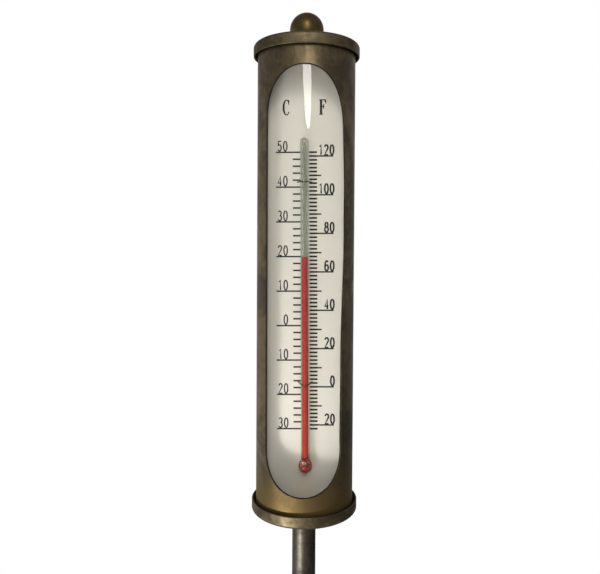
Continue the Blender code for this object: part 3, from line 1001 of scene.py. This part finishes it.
# %% [markdown]
# ## The glass stem and the spirit
#
# The stem is drawn capillary tube. A glass blower opens one end into a bulb, which leaves a hollow
# waist between bulb and stem, and melts the other end shut, which rounds it over the end of the
# bore. The spirit wets the bore, so no air is left between the two, and that is why the glass shows
# a thread of 2.7 mm as wide as 4 mm. The rings of the thread are only at its ends: as it warms up,
# the upper end rises with the reading and the foot stays at the neck of the bulb.

# %% Stem, bulb and thread
stem_radius, bore_radius, wall = 2.95 * MM, 1.35 * MM, 0.25 * MM
bulb_radius, bulb_stretch = 4.75 * MM, 1.17
bulb_middle = underside + 36.3 * MM
stem_top = underside + 266.7 * MM
stem_place = card_front - 0.3 * MM - stem_radius
sunk = 0.02 * MM


def neck(radius, bulb):
    """The angle on the bulb, in degrees, where a line of the given radius meets it."""
    return asin(sqrt(1 - (radius / bulb) ** 2)) * 180 / pi


def on_card(piece):
    """Moves a piece turned about the upright axis to the stem's place and leans it over."""
    piece.location = (0, stem_place, 0)
    lean_over(piece)


waist = 0.9 * MM
outer_neck = neck(stem_radius + 0.25 * MM, bulb_radius)
neck_height = bulb_middle + bulb_stretch * bulb_radius * sin(radians(outer_neck))
outside = arc(0, bulb_middle, bulb_radius, -90, outer_neck, 26, bulb_stretch)
outside += [
    (stem_radius + 0.08 * MM, neck_height + 0.35 * waist), (stem_radius, neck_height + waist),
]
outside += arc(0, stem_top - stem_radius, stem_radius, 0, 90, 10)
bore_end = stem_top - 3.6 * MM
inside = arc(0, bore_end, bore_radius, 90, 0, 5)
inner_bulb = bulb_radius - wall
inside += arc(0, bulb_middle, inner_bulb, neck(bore_radius, inner_bulb), -90, 22, bulb_stretch)

outer_skin = turned("stem_outside", outside, 64, closed=False)
inner_skin = turned("stem_inside", inside, 64, closed=False)
hold(inner_skin)
bpy.ops.object.mode_set(mode="EDIT")
bpy.ops.mesh.select_all(action="SELECT")
bpy.ops.mesh.flip_normals()
bpy.ops.object.mode_set(mode="OBJECT")
stem = joined("spirit_stem", [outer_skin, inner_skin])
smooth(stem, 60)
on_card(stem)
fit(stem, "head", "stem_glass", stem_glass, "stem_glass")

pool_radius = inner_bulb + sunk
thread_radius = bore_radius + sunk
thread_foot = underside + 42.3 * MM
pool = arc(0, bulb_middle, pool_radius, -90, neck(thread_radius, pool_radius), 24, bulb_stretch)
pool += [(thread_radius, thread_foot - sunk), (0, thread_foot - sunk)]
bulb_fill = turned("spirit_in_bulb", pool, 48, closed=False)
on_card(bulb_fill)
fit(bulb_fill, "head", "red_spirit", bulb_spirit, "bulb_spirit")

thread_top = celsius(19.8)
meniscus = 0.7 * MM
end_length = 0.5 * MM
thread_section = [
    (0, thread_foot), (thread_radius, thread_foot), (thread_radius, thread_foot + end_length),
    (thread_radius, thread_top - meniscus - end_length), (thread_radius, thread_top),
    (0.7 * thread_radius, thread_top - 0.55 * meniscus), (0, thread_top - meniscus),
]
thread = turned("spirit_thread", thread_section, 32, closed=False)
on_card(thread)
thread.data.materials.append(red_spirit)
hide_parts("spirit_column")
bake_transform(thread)
print("thread from", round(thread_foot, 4), "to", round(thread_top, 4))

# %% [markdown]
# ## The wire clips
#
# Each clip is a piece of soft iron wire laid over the stem, pushed through two holes in the card and
# bent flat behind it. The upper one was pulled tight; the lower one sags in front like a V.

# %% Clips
def clip(name, node, height, sag):
    """A wire over the stem; sag is how far its front hangs below its ends, in millimetres."""
    wire = 0.42 * MM
    loop = stem_radius + 0.05 * MM + wire
    span, front = 4.9, (card_front - stem_place) / MM
    over = [(loop / MM * sin(radians(a)), -loop / MM * cos(radians(a))) for a in range(0, 91, 15)]
    half = over + [(span - 1.1, front - 1.9), (span - 0.4, front - 0.9), (span, front + 0.2)]
    half += [(span, front + 1.5), (span - 0.5, front + 1.8), (span - 2.0, front + 1.7)]
    route = [(-x, y) for x, y in reversed(half[1:])] + half
    bpy.ops.object.select_all(action="DESELECT")
    bpy.ops.mesh.primitive_plane_add(size=MM)
    piece = bpy.context.object
    bpy.ops.object.mode_set(mode="EDIT")
    bpy.ops.mesh.merge(type="CENTER")
    corners = [Vector((x, y, -sag * max(1 - abs(x) / 4.5, 0))) * MM for x, y in route]
    bpy.ops.transform.translate(value=corners[0])
    for before, after in zip(corners, corners[1:]):
        bpy.ops.mesh.extrude_vertices_move(TRANSFORM_OT_translate={"value": after - before})
    bpy.ops.object.mode_set(mode="OBJECT")
    bpy.ops.object.convert(target="CURVE")
    piece.data.bevel_depth = wire
    piece.data.bevel_resolution = 3
    piece.data.use_fill_caps = True
    bpy.ops.object.convert(target="MESH")
    piece.name = piece.data.name = name
    piece.location = (0, stem_place, height)
    lean_over(piece)
    smooth(piece, 50)
    fit(piece, "head", "dark_wire", iron_wire, node)


clip("lower_wire_clip", "wire_clip_lower", underside + 94.7 * MM, 1.6)
clip("upper_wire_clip", "wire_clip_upper", underside + 235.8 * MM, 0.1)

# %% [markdown]
# ## A black bead as painted shade along the window's edge
#
# A thin bead of black compound runs round the window between the glass and the casing. It is
# painted shade: a dark thing that stands in for the shadow of the cut edge and of the gap behind it.
# It is laid on the outline of the cutter: a ring of edges, rolled round the tube like the sheet and
# then given the thickness of the bead.

# %% Black bead, painted shade along the window's edge
bead_radius, glass_gap, bead_depth = 0.45 * MM, 0.02 * MM, 0.4 * MM
bead = slot_outline(240, "NOTHING")
bpy.ops.object.mode_set(mode="EDIT")
levels = 80
straight = range(levels // 10, levels - levels // 10)
slice_across([window_low + (window_high - window_low) * level / levels for level in straight])
bpy.ops.object.mode_set(mode="OBJECT")
rim = casing_radius - sheet
narrower, lower = 1 - 0.1 * MM / flat_half_width, 0.9995
for vertex in bead.data.vertices:
    turn = trimmed(vertex.co.x, vertex.co.z) * narrower / casing_radius
    height = window_middle + (vertex.co.z - window_middle) * lower
    vertex.co = (rim * sin(turn), -rim * cos(turn), height)
hold(bead)
bpy.ops.object.convert(target="CURVE")
bead.data.bevel_depth = bead_radius
bead.data.bevel_resolution = 2
bpy.ops.object.convert(target="MESH")
for vertex in bead.data.vertices:
    radius = sqrt(vertex.co.x ** 2 + vertex.co.y ** 2)
    pressed = min(max(radius, glass_radius + glass_gap), casing_radius - bead_depth) / radius
    vertex.co.x *= pressed
    vertex.co.y *= pressed
bead.name = bead.data.name = "painted_shade_bead"
smooth(bead, 80)
# The bead gets the black rubber finish: painted shade along the window's edge.
fit(bead, "head", "seal_rubber", rubber)

# %% [markdown]
# ## The pieces that stay plain
#
# The card, the nuts, the brackets, the rivets and the seals are simple solids, and most of
# them hide in the housing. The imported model's own solids are good enough, so they only get the
# finish of their kind.

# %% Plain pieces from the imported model
kept = {
    "scale_plate": card_enamel, "coupling_nut": zinc_plate, "finial_washer": zinc_plate,
    "head_washer": fibre, "bottom_seal": rubber, "top_seal": rubber,
}
for place in ("lower", "upper"):
    kept[place + "_jam_nut"] = kept[place + "_bracket"] = zinc_plate
for rivet in range(1, 5):
    kept["plate_rivet_" + str(rivet)] = zinc_plate
for name, material in kept.items():
    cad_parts[name].data.materials.clear()
    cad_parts[name].data.materials.append(material)
print(len(kept), "plain pieces have their finish")

# %% [markdown]
# ## The floor
#
# A round matt floor under the point of the stake shows shadows when the whole object is seen. The
# lamps are aimed at the housing, so the pale floor would look grey. It is made to glow a little for
# the viewer only, which leaves the light on the object as it is.

# %% Floor
floor_radius = 1.2
floor_glow = 0.35
bpy.ops.object.select_all(action="DESELECT")
bpy.ops.mesh.primitive_circle_add(vertices=96, radius=floor_radius, fill_type="NGON")
floor = bpy.context.object
floor.name = "floor"
floor_paint = plain_finish("matt_floor_paint", "F0EFEC", "EAE9E5", 0.0, 0.8, 30, 0.1)
paint = floor_paint.node_tree
matt = paint.nodes["Principled BSDF"].outputs[0]
glow = add_node(paint, "Emission", {"Color": linear("F0EFEC"), "Strength": floor_glow})
glowing = add_node(paint, "AddShader", {0: matt, 1: glow.outputs[0]})
shown = add_node(paint, "MixShader", {
    0: add_node(paint, "LightPath").outputs["Is Camera Ray"], 1: matt, 2: glowing.outputs[0],
})
paint.links.new(shown.outputs[0], paint.nodes["Material Output"].inputs["Surface"])
floor.data.materials.append(floor_paint)
